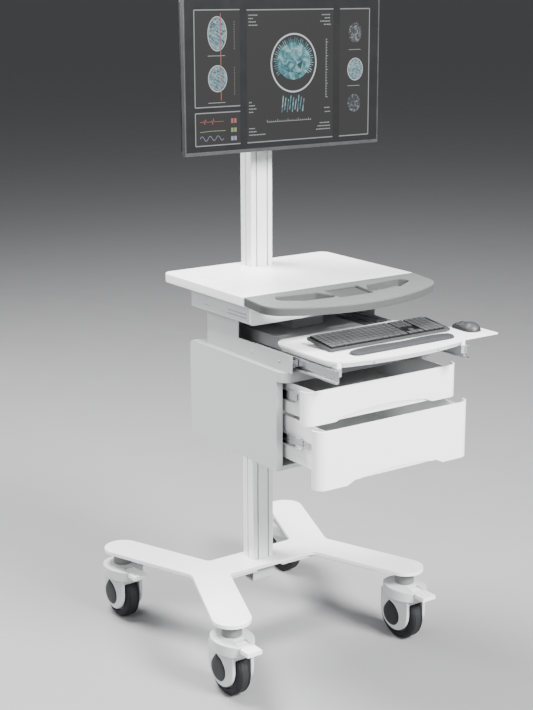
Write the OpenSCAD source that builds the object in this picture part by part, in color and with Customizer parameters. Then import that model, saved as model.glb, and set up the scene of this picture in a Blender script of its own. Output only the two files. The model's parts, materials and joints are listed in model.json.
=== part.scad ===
// Mobile medication cart: caster base, column, drawer cabinet, keyboard tray, worktop and monitor.
// Millimetres, +Z up, -Y is the front. The origin is on the floor, under the middle of the cart.
// Modelled with both drawers, the keyboard tray and the mouse shelf pulled out.

/* [Base] */
// Distance between neighbouring caster stems, the same both ways
stem_span = 500; // [480:5:520]
// Width of each leg of the base plate
leg_w = 89; // [80:1:92]
// Sideways slant of each leg, in degrees
leg_slant = 21.5; // [20:0.5:23]
// Thickness of the base plate
plate_t = 8.5; // [6:0.5:10]
// Diameter of the caster wheels
wheel_d = 125; // [120:1:125]
// Width of the tyres
tyre_w = 36; // [30:1:38]

/* [Column] */
// Width of the column
col_w = 60; // [56:1:62]
// Depth of the column, front to back
col_d = 45; // [42:1:46]
// Height of the column's top above the floor
col_top = 1430; // [1400:5:1460]

/* [Cabinet] */
// Width of the cabinet
cab_w = 410; // [404:1:416]
// Depth of the cabinet, without its front lip
cab_d = 340; // [330:1:345]
// Height of the cabinet
cab_h = 219; // [215:1:222]
// How far the upper drawer is pulled out
upper_out = 82; // [0:1:180]
// How far the lower drawer is pulled out
lower_out = 123; // [0:1:180]

/* [Worktop] */
// Width of the worktop
top_w = 460; // [450:1:464]
// Depth of the worktop, without its handle
top_d = 335; // [330:1:338]
// Thickness of the worktop
top_t = 21; // [18:1:22]
// Height of the worktop's surface above the floor
top_z = 913.5; // [912:0.5:916]
// How far the handle stands out in front of the worktop
handle_reach = 143; // [138:1:146]

/* [Keyboard tray] */
// Width of the keyboard tray
tray_w = 364; // [358:1:366]
// Depth of the keyboard tray
tray_d = 240; // [236:1:244]
// Width of the keyboard
kb_w = 324; // [318:1:326]
// Depth of the keyboard
kb_d = 83; // [80:1:84]
// Backward tilt of the keyboard, in degrees
kb_tilt = 6.5; // [4:0.5:8]

/* [Monitor] */
// Width of the monitor
mon_w = 522; // [510:1:530]
// Height of the monitor
mon_h = 330; // [320:1:335]

/* [Hidden] */
$fn = 64;

white = [0.92, 0.92, 0.92];
light_grey = [0.78, 0.78, 0.78];
mid_grey = [0.58, 0.6, 0.59];
dark_grey = [0.26, 0.27, 0.28];
black = [0.05, 0.05, 0.05];
zinc = [0.75, 0.76, 0.78];

eps = 1;                                  // how far a cutter runs past the face it cuts

// Heights above the floor
axle_z = wheel_d / 2;
fork_top = axle_z + 82.5;
plate_z = fork_top + 31;
plate_top = plate_z + plate_t;
cab_z = 549;
cab_top = cab_z + cab_h;
bay_rail_z = cab_top + 37;                // top of the low front part of the bay's sides
housing_z = cab_top + 84;                 // underside of the power housing
tray_z = cab_top + 50;                    // surface of the keyboard tray
mon_z = 1190.5;                           // lower edge of the monitor
mon_mid = mon_z + mon_h / 2;

// Places along Y, counted from the middle of the four stems
col_front = -10.5;
col_y = col_front + col_d / 2;
cab_back = -20;
cab_front = cab_back - cab_d;
bay_back = -70;
bay_step = -195;
bay_front = -394;
top_front = -278;
tray_back = -304.5;
tray_front = tray_back - tray_d;
mon_front = -105;

// Casters
trail = 8;                                // wheel axle behind the stem
stem = stem_span / 2;
neck_r = 23;
pin_r = 8;
run_gap = 0.05;                           // radial clearance of every running fit
stem_bolt_r = 6;
stem_bolt_h = plate_t - 2;
cheek_in = tyre_w / 2 + 2.5;
cheek_t = 8.5;
cheek_out = cheek_in + cheek_t;
cheek_r = 50;
cheek_mid = [4.5, axle_z + 12.5];         // middle of the cheeks' round lower end, in Y and Z
axle_r = 6;
hub_r = 46;
cowl_y = -1;
cowl_half_w = 47;
cowl_reach = 59;
cowl_side_r = 70;
cowl_dome_r = 230;
pedal_y = -34;                            // pedal hinge, from the stem
pedal_z = axle_z + 68.5;
pedal_pin_r = 2.5;

// Shift that puts the origin under the middle of the whole cart
rear_end = stem + trail + wheel_d / 2;
mid_y = (rear_end + tray_front) / 2;

module placed() translate([0, -mid_y, 0]) children();

// A rectangle centred on the origin with round corners
module rounded(w, d, r) {
    square([w - 2 * r, d], center = true);
    square([w, d - 2 * r], center = true);
    for (x = [-1, 1], y = [-1, 1]) translate([x * (w / 2 - r), y * (d / 2 - r)]) circle(r);
}

// A box between two corners
module span(low, high) translate(low) cube(high - low);

// The same thing on the left and, mirrored, on the right
module both_sides() for (side = [0, 1]) mirror([side, 0, 0]) children();

// A drawing in X and Z, given depth along Y from y0 back to y1
module upright(y0, y1) translate([0, y1, 0]) rotate([90, 0, 0]) linear_extrude(y1 - y0) children();

// A round bar along X, centred on x = 0
module bar_x(r, length) rotate([0, 90, 0]) cylinder(r = r, h = length, center = true);

// ---------------------------------------------------------------- base

leg_len = stem / cos(leg_slant);
rib_w = leg_w - 33;
rib_h = 10;
rib_end = 60;                             // ribs stop this far short of the stem
cross_d = 96;
cross_x = stem - stem * tan(leg_slant);   // where a leg's middle line meets the cross-bar

// One leg drawn from its stem towards the middle, with a round end
module leg(w, start) {
    translate([stem, stem]) rotate(180 - leg_slant) {
        translate([-w / 2, start]) square([w, leg_len - start]);
        if (start == 0) circle(w / 2);
    }
}

module four_ways() for (x = [0, 1], y = [0, 1]) mirror([x, 0]) mirror([0, y]) children();

module base_outline(w, start, bar_d) {
    four_ways() intersection() {
        leg(w, start);
        square([2 * stem, 2 * stem]);
    }
    square([2 * cross_x + 10, bar_d], center = true);
}

// Fills the corner between two edges that open by twice `half` about +X, out to a round of radius r
module corner_fill(half, r) difference() {
    touch = r / tan(half) * [cos(half), sin(half)];
    polygon([[-0.5, 0], touch, [r / sin(half), 0], [touch.x, -touch.y]]);
    translate([r / sin(half), 0]) circle(r);
}

notch_r = 30;
notch_x = cross_x + leg_w / 2 / cos(leg_slant);
corner_r = 15;
corner_x = cross_x - leg_w / 2 / cos(leg_slant) + cross_d / 2 * tan(leg_slant);

module plate_outline() {
    base_outline(leg_w, 0, cross_d);
    for (turn = [0, 180]) rotate(turn) translate([notch_x, 0]) corner_fill(90 - leg_slant, notch_r);
    four_ways() translate([corner_x, cross_d / 2]) rotate((270 - leg_slant) / 2)
        corner_fill((90 + leg_slant) / 2, corner_r);
}

// The stems' bolts go in from below and stop short of the plate's top
module base_plate() color(white) {
    difference() {
        union() {
            translate([0, 0, plate_z]) linear_extrude(plate_t) plate_outline();
            translate([0, 0, plate_z - rib_h]) linear_extrude(rib_h + eps)
                difference() {
                    base_outline(rib_w, rib_end, cross_d - 20);
                    translate([0, col_y]) square([col_w + 14, cross_d + 40], center = true);
                }
        }
        for (x = [-stem, stem], y = [-stem, stem])
            translate([x, y, plate_z - eps]) cylinder(r = stem_bolt_r, h = stem_bolt_h + eps);
        for (x = [-bolt_x, bolt_x])
            translate([x, col_y, plate_z - eps]) cylinder(r = bolt_r, h = plate_t + 2 * eps);
    }
}

foot_h = 48.5;
foot_d = 37;
foot_wall = 3;
foot_y = col_front + foot_d / 2;
bolt_x = 15;
bolt_r = 4;

module foot_bracket() color(light_grey) difference() {
    translate([-col_w / 2, foot_y, plate_z - foot_h / 2]) rotate([90, 0, 90])
        linear_extrude(col_w) difference() {
            rounded(foot_d, foot_h, 5);
            rounded(foot_d - 2 * foot_wall, foot_h - 2 * foot_wall, 3);
        }
    for (x = [-bolt_x, bolt_x])
        translate([x, col_y, plate_z - foot_wall - eps]) cylinder(r = bolt_r, h = foot_wall + 2 * eps);
}

module foot_bolts() color(zinc) for (x = [-bolt_x, bolt_x]) translate([x, col_y, 0]) {
    translate([0, 0, plate_z - foot_wall]) cylinder(r = bolt_r, h = foot_wall + plate_t);
    translate([0, 0, plate_z - foot_wall - 5]) difference() {
        cylinder(r = 6.5, h = 5);
        translate([0, 0, -eps]) cylinder(r = 3, h = 3 + eps, $fn = 6);
    }
}

// ---------------------------------------------------------------- column

slot_mouth = 3.6;
slot_lip = 3;
slot_well = 8;
slot_well_d = 3.5;

// One T-slot, cut inwards from a face at y = 0 towards +Y
module t_slot() {
    translate([-slot_mouth / 2, -eps]) square([slot_mouth, slot_lip + 2 * eps]);
    translate([-slot_well / 2, slot_lip]) square([slot_well, slot_well_d]);
}

module column() color(white) translate([0, col_y, plate_top])
    linear_extrude(col_top - plate_top) difference() {
        rounded(col_w, col_d, 3.5);
        for (turn = [0, 180], x = [-col_w / 4, col_w / 4])
            rotate(turn) translate([x, -col_d / 2]) t_slot();
        for (turn = [90, -90]) rotate(turn) translate([0, -col_w / 2]) t_slot();
        for (x = [-13, 13]) translate([x, 0]) rounded(20, 24, 2);
    }

module column_top_cap() color(dark_grey) translate([0, col_y, col_top]) {
    linear_extrude(3) rounded(col_w, col_d, 3.5);
    for (x = [-13, 13]) translate([x, 0, -10]) linear_extrude(10) rounded(20, 24, 2);
}

// ---------------------------------------------------------------- casters

// Places a caster's own parts: x is across, y is to the back, from its stem
module at_stem(x, y) translate([x * stem, y * stem, 0]) children();

module caster_stems() color(mid_grey) for (x = [-1, 1], y = [-1, 1]) at_stem(x, y) {
    translate([0, 0, fork_top - 15]) cylinder(r = pin_r, h = 16);
    translate([0, 0, fork_top + 0.5]) cylinder(r = neck_r, h = plate_z - fork_top - 0.5);
    translate([0, 0, plate_z - eps]) cylinder(r = stem_bolt_r, h = stem_bolt_h + eps);
}

// Plan of the cowl over the wheel, an oval made of three arcs
module cowl_plan() intersection() {
    circle(cowl_reach);
    translate([cowl_side_r - cowl_half_w, 0]) circle(cowl_side_r);
    translate([cowl_half_w - cowl_side_r, 0]) circle(cowl_side_r);
}

// Outline of the cheeks beside the wheel, in Y and Z
module cheek_outline() translate(cheek_mid) {
    circle(cheek_r);
    translate([-cheek_r, 0]) square([2 * cheek_r, 45]);
}

cowl_skirt_z = axle_z + 50;
pedal_half_w = 13.7;
pedal_slot = 0.8;

module fork() color(light_grey) difference() {
    union() {
        intersection() {
            translate([0, cowl_y, cowl_skirt_z]) linear_extrude(60) cowl_plan();
            translate([0, cowl_y, fork_top - cowl_dome_r]) sphere(r = cowl_dome_r, $fn = 128);
        }
        rotate([90, 0, 90]) translate([0, 0, -cheek_out])
            linear_extrude(2 * cheek_out) cheek_outline();
    }
    translate([0, trail, axle_z]) bar_x(wheel_d / 2 + 3.5, 2 * cheek_in);
    span([-cheek_in, trail - 80, -10], [cheek_in, trail + 80, axle_z]);
    translate([0, 0, fork_top - 30]) cylinder(r = pin_r + run_gap, h = 40);
    translate([0, trail, axle_z]) bar_x(axle_r, 3 * cheek_out);
    span([-pedal_half_w - pedal_slot, -80, pedal_z - 7],
         [pedal_half_w + pedal_slot, pedal_y + 6, fork_top]);
    translate([0, pedal_y, pedal_z]) bar_x(pedal_pin_r + run_gap, 2 * pedal_half_w + 12);
}

module brake_pedal() color(white) {
    difference() {
        union() {
            span([-pedal_half_w, -62, pedal_z], [pedal_half_w, pedal_y, pedal_z + 6.5]);
            span([-19, -92, pedal_z - 3], [19, -61.5, pedal_z + 6.5]);
            translate([0, pedal_y, pedal_z + 1]) bar_x(5.4, 2 * pedal_half_w);
        }
        for (x = [-1, 1]) span([x * 9 - 1, -82, pedal_z + 5.5], [x * 9 + 1, -45, pedal_z + 8]);
    }
    translate([0, pedal_y, pedal_z]) bar_x(pedal_pin_r, 2 * pedal_half_w + 11);
}

module wheel_hub() color(dark_grey) translate([0, trail, axle_z]) rotate([0, 90, 0])
    rotate_extrude($fn = 96) polygon([
        [axle_r + run_gap, -tyre_w / 2 + 0.5], [14, -tyre_w / 2 + 0.5], [14, -8], [38, -8],
        [38, -tyre_w / 2 + 3], [hub_r, -tyre_w / 2 + 3], [hub_r, tyre_w / 2 - 3],
        [38, tyre_w / 2 - 3], [38, 8], [14, 8], [14, tyre_w / 2 - 0.5],
        [axle_r + run_gap, tyre_w / 2 - 0.5]
    ]);

// Half-round tread section, swept round the axle
tread_r = 8;
module tyre() color(black) translate([0, trail, axle_z]) rotate([0, 90, 0])
    rotate_extrude($fn = 96) difference() {
        union() {
            translate([hub_r, -tyre_w / 2]) square([wheel_d / 2 - hub_r - tread_r, tyre_w]);
            translate([hub_r, -tyre_w / 2 + tread_r])
                square([wheel_d / 2 - hub_r, tyre_w - 2 * tread_r]);
            for (side = [-1, 1])
                translate([wheel_d / 2 - tread_r, side * (tyre_w / 2 - tread_r)]) circle(tread_r);
        }
        for (side = [-1, 1])
            translate([wheel_d / 2, side * (tyre_w / 2 - 9)]) circle(0.8, $fn = 24);
    }

module axle() color(zinc) translate([0, trail, axle_z]) difference() {
    bar_x(axle_r, 2 * cheek_out - 1);
    for (side = [-1, 1]) translate([side * cheek_out, 0, 0]) bar_x(3, 8);
}

// ---------------------------------------------------------------- cabinet

wall = 2;
lip_h = 22;
lip_d = 24;
lip_wall = 3.5;
stile_w = 15.7;
opening_low = cab_z + 9;
opening_high = cab_top - 24;
opening_half = cab_w / 2 - stile_w;
slide_z = [cab_z + 169, cab_z + 73];      // middle height of the upper and lower slides
slide_x = opening_half - 0.3;             // outer face of the slides

// Plan of a wrap-round front: straight, with quarter-round ends that reach back to y = 0
module wrap_front(r) {
    translate([-cab_w / 2 + lip_d, -r]) square([cab_w - 2 * lip_d, r]);
    for (side = [-1, 1]) translate([side * (cab_w / 2 - lip_d), 0]) intersection() {
        circle(r);
        translate([-r, -r]) square([2 * r, r]);
    }
}

module cabinet_side_view(inset) {
    r = 10;
    translate([cab_front + inset, cab_z + inset]) square([cab_d - r, cab_h - 2 * inset]);
    translate([cab_front + inset, cab_z + r]) square([cab_d - 2 * inset, cab_h - 2 * r]);
    for (z = [cab_z + r, cab_top - r]) translate([cab_back - r, z]) circle(r - inset);
}

module cabinet_shell() color(light_grey) difference() {
    union() {
        difference() {
            rotate([90, 0, 90]) translate([0, 0, -cab_w / 2])
                linear_extrude(cab_w) cabinet_side_view(0);
            rotate([90, 0, 90]) translate([0, 0, -cab_w / 2 + wall])
                linear_extrude(cab_w - 2 * wall) cabinet_side_view(wall);
        }
        translate([0, cab_front, cab_top - lip_h]) linear_extrude(lip_h) wrap_front(lip_d);
        both_sides() for (z = slide_z)
            span([slide_x, cab_front + wall, z - 10], [cab_w / 2 - wall, cab_back - 12, z + 10]);
        span([-24, cab_back, cab_z + 12], [24, col_front, cab_top - 12]);
    }
    span([-opening_half, cab_front - eps, opening_low],
         [opening_half, cab_front + wall + eps, opening_high]);
    translate([0, cab_front, cab_top - lip_h - eps])
        linear_extrude(lip_h + eps - wall) wrap_front(lip_d - lip_wall);
    both_sides() for (z = slide_z)
        span([slide_x + 1.5, cab_front + wall + 2, z - 8.5],
             [cab_w / 2 - wall - 1, cab_back - 14, z + 8.5]);
}

// Side walls and floor of a drawer, open at the top; lengths run back from the closed front
box_half = 176;
box_wall = 1.5;
box_back = cab_back - 8;
front_gap = 1;                            // between a closed drawer front and the cabinet
box_front = cab_front - front_gap - lip_d + lip_wall;

module drawer_box(out, low, high) color(light_grey) translate([0, -out, 0]) difference() {
    span([-box_half, box_front, low], [box_half, box_back, high]);
    span([-box_half + box_wall, box_front + box_wall, low + box_wall],
         [box_half - box_wall, box_back - box_wall, high + eps]);
}

cut_half = 110;
cut_slope = 22;
cut_h = 9;
scoop_r = 18;
scoop_deep = 2;
scoop_h = 8;
scoop_arch_r = 600;

// Shallow hollow for the fingertips over the cut-out, rounded by an arch along its top
module finger_scoop(z) intersection() {
    translate([0, -lip_d - scoop_r + scoop_deep, z]) bar_x(scoop_r, 2 * cut_half);
    upright(-lip_d - eps, -lip_d / 2)
        translate([0, z + scoop_h - scoop_arch_r]) circle(scoop_arch_r, $fn = 360);
}

module drawer_front(out, low, high) color(white) translate([0, cab_front - out - front_gap, 0])
    difference() {
        translate([0, 0, low]) linear_extrude(high - low) wrap_front(lip_d);
        finger_scoop(low + cut_h);
        translate([0, 0, low - eps]) linear_extrude(high - low + 2 * eps) wrap_front(lip_d - lip_wall);
        upright(-lip_d - eps, -lip_d / 2) polygon([
            [-cut_half - cut_slope, low - eps], [-cut_half - cut_slope + 4, low + 1],
            [-cut_half, low + cut_h], [cut_half, low + cut_h],
            [cut_half + cut_slope - 4, low + 1], [cut_half + cut_slope, low - eps]
        ]);
    }

upper_box_z = [cab_z + 126, cab_z + 193];
lower_box_z = [cab_z + 23, cab_z + 118];
upper_front_z = [cab_z + 124, cab_z + 196.5];
lower_front_z = [cab_z - 3, cab_z + 123];

module upper_drawer_box() drawer_box(upper_out, upper_box_z[0], upper_box_z[1]);
module lower_drawer_box() drawer_box(lower_out, lower_box_z[0], lower_box_z[1]);
module upper_drawer_front() drawer_front(upper_out, upper_front_z[0], upper_front_z[1]);
module lower_drawer_front() drawer_front(lower_out, lower_front_z[0], lower_front_z[1]);

// Telescopic slide members, seen from the front on the right, from the drawer out to the cabinet
sheet = 1.5;
slide_gap = 0.5;
outer_h = 15;
middle_h = outer_h - sheet - slide_gap;
inner_h = 7;
inner_x = box_half;
middle_web = inner_x + 3.5;
slide_back = -40;

module slide_outers(z) color(zinc) both_sides() {
    y0 = cab_front + 4;
    y1 = slide_back;
    span([slide_x - sheet, y0, z - outer_h], [slide_x, y1, z + outer_h]);
    for (edge = [z - outer_h, z + outer_h - sheet])
        span([slide_x - 7.5, y0, edge], [slide_x, y1, edge + sheet]);
}

module slide_middles(z, out) color(zinc) both_sides() translate([0, -out / 2, 0]) {
    y0 = cab_front + 2;
    y1 = y0 + 300;
    span([middle_web, y0, z - middle_h], [middle_web + sheet, y1, z + middle_h]);
    for (edge = [z - middle_h, z + middle_h - sheet])
        span([middle_web, y0, edge], [slide_x - sheet - slide_gap, y1, edge + sheet]);
    for (edge = [z - inner_h - 2.5, z + inner_h + 1])
        span([middle_web - 2.5, y0, edge], [middle_web + sheet, y1, edge + sheet]);
}

module slide_inners(z, out) color(zinc) both_sides() translate([0, -out, 0]) {
    y0 = cab_front + 2;
    span([inner_x, y0, z - inner_h], [inner_x + 3, y0 + 300, z + inner_h]);
}

module upper_slide_outers() slide_outers(slide_z[0]);
module lower_slide_outers() slide_outers(slide_z[1]);
module upper_slide_middles() slide_middles(slide_z[0], upper_out);
module lower_slide_middles() slide_middles(slide_z[1], lower_out);
module upper_slide_inners() slide_inners(slide_z[0], upper_out);
module lower_slide_inners() slide_inners(slide_z[1], lower_out);

// ---------------------------------------------------------------- keyboard bay

bay_half = 190;
arm_half = 42;
arm_z = cab_top + 35.5;
deck_half = 112;
deck_z = cab_top + 34.5;
screw_y = [-248, -349];
screw_z = cab_top + 16.5;
screw_r = 2;

module bay_frame() color(light_grey) difference() {
    union() {
        both_sides() span([bay_half - wall, bay_front, cab_top], [bay_half, bay_back, bay_rail_z]);
        both_sides() span([bay_half - wall, bay_step, cab_top], [bay_half, bay_back, housing_z]);
        span([-bay_half, bay_back - wall, cab_top], [bay_half, bay_back, housing_z]);
        span([-deck_half, bay_front + 14, deck_z - wall], [deck_half, bay_back, deck_z]);
        both_sides() span([deck_half - wall, bay_front + 14, cab_top], [deck_half, bay_back, deck_z]);
    }
    span([-arm_half - 0.3, bay_back - 10, arm_z - 0.3],
         [arm_half + 0.3, bay_back + eps, housing_z + eps]);
    for (y = screw_y) translate([0, y, screw_z]) bar_x(screw_r, 2 * bay_half + 2);
}

// Screws through the bay's sides into the tray guides: the heads show outside
module bay_screws() color(zinc) both_sides() for (y = screw_y) translate([bay_half, y, screw_z]) {
    rotate([0, -90, 0]) cylinder(r = screw_r, h = wall);
    rotate([0, 90, 0]) difference() {
        cylinder(r1 = 4, r2 = 3, h = 1.6);
        translate([0, 0, 0.6]) cylinder(r = 1.2, h = 2, $fn = 6);
    }
}

// Hollow beam that reaches forward from the column and carries the power housing
module support_arm() color(light_grey) difference() {
    span([-arm_half, -190, arm_z], [arm_half, col_front, housing_z]);
    span([-arm_half + 3, -187, arm_z + 3], [arm_half - 3, col_front - 6, housing_z - 3]);
}

guide_z = cab_top + 20;
channel_h = 14;
channel_out = 179;
channel_len = 300;
channel_front = -528;

module tray_guides() color(zinc) both_sides() {
    y0 = bay_front + 2;
    y1 = bay_back - 10;
    span([bay_half - wall - sheet, y0, guide_z - 13], [bay_half - wall, y1, guide_z + 13]);
    span([channel_out - 6.5, y0, guide_z - 8], [bay_half - wall, y1, guide_z + 8]);
}

module tray_channels() color(zinc) both_sides() {
    y1 = channel_front + channel_len;
    web = channel_out - 9;
    span([web, channel_front, guide_z - channel_h], [web + sheet, y1, guide_z + channel_h]);
    for (edge = [guide_z - channel_h, guide_z + channel_h - sheet])
        span([web, channel_front, edge], [channel_out, y1, edge + sheet]);
    for (edge = [guide_z - channel_h, guide_z + channel_h - 4])
        span([channel_out - sheet, channel_front, edge], [channel_out, y1, edge + 4]);
}

tray_bow_r = 720;
tray_corner = 42;
tray_deck_t = 4;
skirt_in = 8;

module tray_outline() offset(r = tray_corner) offset(delta = -tray_corner) intersection() {
    translate([-tray_w / 2, tray_front]) square([tray_w, tray_d]);
    translate([0, tray_front + tray_bow_r]) circle(tray_bow_r, $fn = 360);
}

shelf_y = [-500, -398];
shelf_z = tray_z - 12;
shelf_t = 4;
flange_front = channel_front + 6;

// Moulded tray: a rimmed deck, a skirt with a slot for the mouse shelf, and two mounting flanges
module keyboard_tray() color(white) {
    difference() {
        union() {
            translate([0, 0, tray_z - tray_deck_t]) linear_extrude(tray_deck_t) tray_outline();
            translate([0, 0, tray_z - 14]) linear_extrude(11) offset(delta = -skirt_in) tray_outline();
        }
        translate([0, 0, tray_z - 15]) linear_extrude(15 - tray_deck_t)
            offset(delta = -skirt_in - 3) tray_outline();
        span([0, shelf_y[0] - 0.6, shelf_z - 0.6], [tray_w, shelf_y[1] + 0.6, shelf_z + shelf_t + 0.6]);
    }
    both_sides() span([channel_out - 12, flange_front, guide_z - 10],
                      [channel_out - 9, tray_back - 40, shelf_z - 1.4]);
    for (y = [flange_front, tray_back - 60]) both_sides()
        span([channel_out - 19, y, guide_z - 2], [channel_out - 9, y + 20, tray_z - 2]);
}

rest_r = 16;
rest_drop = 6;                            // how far the round section is sunk into the tray
rest_ends = [-99, 143];                   // middles of its two round ends

module palm_rest() color(dark_grey) intersection() {
    translate([0, -494, tray_z - rest_drop]) {
        translate([(rest_ends[0] + rest_ends[1]) / 2, 0, 0]) bar_x(rest_r, rest_ends[1] - rest_ends[0]);
        for (x = rest_ends) translate([x, 0, 0]) sphere(rest_r);
    }
    span([-200, tray_front, tray_z], [200, tray_back, tray_z + 30]);
}

// The keyboard's own frame: x from its left end, y from its front edge, z up from its underside
kb_x = -137;
kb_y = -455;
kb_t = 7;
key_pitch_x = 13.6;
key_pitch_y = 12.7;
key_gap = 1.5;
key_travel = 2;

module at_keyboard() translate([kb_x, kb_y, tray_z + 0.6]) rotate([kb_tilt, 0, 0]) children();

module keyboard_base() color(dark_grey) at_keyboard() {
    difference() {
        cube([kb_w, kb_d, kb_t]);
        translate([3, 2.5, kb_t - 2.5]) cube([kb_w - 6, kb_d - 5, 5]);
    }
    for (x = [18, kb_w - 34]) translate([x, kb_d - 12, -7]) cube([16, 5, 7]);
}

// One keycap, its column and row counted in key units, w units wide
module key(col, row, w, shift) translate([5 + shift + col * key_pitch_x, 4 + row * key_pitch_y, kb_t])
    cube([w * key_pitch_x - key_gap, key_pitch_y - key_gap, 3.4]);

// All the keycaps, on the thin sheet that joins them
module keyboard_keys() color(dark_grey) at_keyboard() {
    translate([4, 3, kb_t]) cube([22 * key_pitch_x + 6, 6 * key_pitch_y, 0.5]);
    for (row = [1:5], col = [0:13]) key(col, row, 1, 0);
    for (row = [1:5]) key(14, row, 1, 0);
    for (col = [0:2]) key(col * 1.25, 0, 1.25, 0);
    key(3.75, 0, 6.25, 0);
    for (col = [0:3]) key(10 + col * 1.25, 0, 1.25, 0);
    for (row = [3:5], col = [15:17]) key(col, row, 1, 3);
    for (col = [15:17]) key(col, 0, 1, 3);
    key(16, 1, 1, 3);
    for (row = [0:5], col = [18:21]) key(col, row, 1, 6);
}

// ---------------------------------------------------------------- mouse

shelf_x = [120, 286];

module mouse_shelf() color(white) difference() {
    span([shelf_x[0], shelf_y[0], shelf_z], [shelf_x[1], shelf_y[1], shelf_z + shelf_t]);
    translate([shelf_x[1], shelf_y[1], shelf_z - eps]) rotate(40)
        translate([-20, -24, 0]) cube([60, 60, 10]);
}

// The mouse: its palm end is towards the user, its buttons and wheel away from them
mouse_x = 252;
mouse_y = -438;
mouse_z = shelf_z + shelf_t + 0.4;

module mouse_form() translate([mouse_x, mouse_y, mouse_z]) intersection() {
    hull() {
        translate([0, -14, -2]) sphere(r = 21, $fn = 48);
        for (x = [-9, 9]) translate([x, 24, 1]) sphere(r = 10, $fn = 24);
    }
    translate([-40, -60, 0]) cube([80, 120, 26]);
}

split_y = mouse_y + 2;
split_z = mouse_z + 7;
wheel_y = mouse_y + 16;
wheel_r = 6;
slot_half = 4;
click_gap = 1.2;

module mouse_slot() span([mouse_x - slot_half, wheel_y - wheel_r - 1.5, mouse_z + 1.2],
                         [mouse_x + slot_half, wheel_y + wheel_r + 1.5, split_z + 20]);

module mouse_body() color(dark_grey) difference() {
    mouse_form();
    span([mouse_x - 40, split_y, split_z], [mouse_x + 40, mouse_y + 60, split_z + 40]);
    mouse_slot();
}

module mouse_buttons() color(mid_grey) difference() {
    intersection() {
        mouse_form();
        span([mouse_x - 40, split_y + 0.5, split_z + click_gap],
             [mouse_x + 40, mouse_y + 60, split_z + 40]);
    }
    mouse_slot();
    span([mouse_x - 0.4, wheel_y, mouse_z], [mouse_x + 0.4, mouse_y + 60, split_z + 20]);
}

module mouse_wheel() color(black) translate([mouse_x, wheel_y, mouse_z + 8.6]) bar_x(wheel_r, 5.5);

// ---------------------------------------------------------------- power housing and worktop

housing_half = 213;
housing_back = -42;
housing_front = -275;
housing_top = top_z - top_t - 2.5;
vent_pitch = 5.25;
vent_front = housing_front + 16;
vent_z = housing_z + 11;
vent_r = 1.3;
vent_row = 8;
lamp_y = -100;
lamp_pitch = 7.2;
lamp_z = housing_z + 13;
lamp_r = 1.1;
boss_x = 150;

// Shell that opens forward, with two rows of vent holes and three lamp holes in each side
module power_housing() color(light_grey) difference() {
    union() {
        span([-housing_half, housing_front, housing_z], [housing_half, housing_back, housing_top]);
        both_sides() for (y = [housing_front + 25, housing_back - 25])
            translate([boss_x, y, housing_top - eps]) cylinder(r = 12, h = 2.5 + eps);
    }
    span([-housing_half + 3, housing_front - eps, housing_z + 3],
         [housing_half - 3, housing_back - 3, housing_top - 3]);
    for (row = [0, 1], i = [0:13])
        translate([0, vent_front + i * vent_pitch, vent_z + row * vent_row])
            bar_x(vent_r, 3 * housing_half);
    for (i = [0:2]) translate([0, lamp_y - i * lamp_pitch, lamp_z]) bar_x(lamp_r, 3 * housing_half);
}

cover_d = 6;

module power_front_cover() color(white) difference() {
    translate([0, 0, (housing_z + housing_top) / 2 - 1]) upright(housing_front - cover_d, housing_front)
        rounded(2 * housing_half + 4, housing_top - housing_z + 2, 8);
    span([-housing_half + 4, housing_front - cover_d + 3, housing_z + 4],
         [housing_half - 4, housing_front + eps, housing_top - 5]);
}

module worktop() color(white) translate([0, 0, top_z - top_t]) linear_extrude(top_t) difference() {
    union() {
        translate([0, top_front + top_d / 2]) rounded(top_w, top_d, 22);
        translate([-top_w / 2, top_front]) square([top_w, 60]);
    }
    translate([0, col_y]) square([col_w + 0.8, col_d + 0.8], center = true);
}

handle_t = 18;
handle_slope = 4.5;
bow_r = 475;
grip_corner = 46;

module handle_outline() intersection() {
    offset(r = grip_corner) offset(delta = -grip_corner) intersection() {
        translate([-top_w / 2 + 1, -handle_reach]) square([top_w - 2, handle_reach + 100]);
        translate([0, bow_r - handle_reach]) circle(bow_r, $fn = 360);
    }
    translate([-top_w, -2 * handle_reach]) square([2 * top_w, 2 * handle_reach]);
}

// The right-hand finger hole, rounded at its corners
module grip_hole() offset(r = 12, $fn = 32) polygon([
    [76, -42], [160, -34], [166, -44], [126, -66], [58, -70]
]);

module handle() color(mid_grey) intersection() {
    translate([0, top_front, top_z]) rotate([handle_slope, 0, 0]) difference() {
        translate([0, 0, -handle_t]) linear_extrude(handle_t) handle_outline();
        both_sides() translate([0, 0, -handle_t - eps]) linear_extrude(handle_t + 2 * eps) grip_hole();
        translate([0, -58, -6]) linear_extrude(10) rounded(92, 66, 6);
    }
    span([-top_w, top_front - 2 * handle_reach, 0], [top_w, top_front, top_z]);
}

// ---------------------------------------------------------------- monitor

bezel_side = 3.5;
bezel_low = 7.5;
bezel_d = 11;
glass_w = mon_w - 2 * bezel_side;
glass_h = mon_h - bezel_side - bezel_low;
glass_mid = mon_z + bezel_low + glass_h / 2;
shell_in = 5;
shell_back = -60;
plate_back = -56;
tilt_y = -44;
swivel_y = -27;

module monitor_bezel() color(black) difference() {
    translate([0, 0, mon_mid]) upright(mon_front, mon_front + bezel_d) rounded(mon_w, mon_h, 3);
    translate([0, 0, glass_mid]) upright(mon_front - eps, mon_front + 5)
        square([glass_w, glass_h], center = true);
    translate([0, 0, mon_mid]) upright(mon_front + 3, mon_front + bezel_d + eps)
        square([mon_w - 16, mon_h - 24], center = true);
}

module monitor_screen() color(dark_grey) translate([0, 0, glass_mid])
    upright(mon_front + 0.6, mon_front + 5) square([glass_w, glass_h], center = true);

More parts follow.
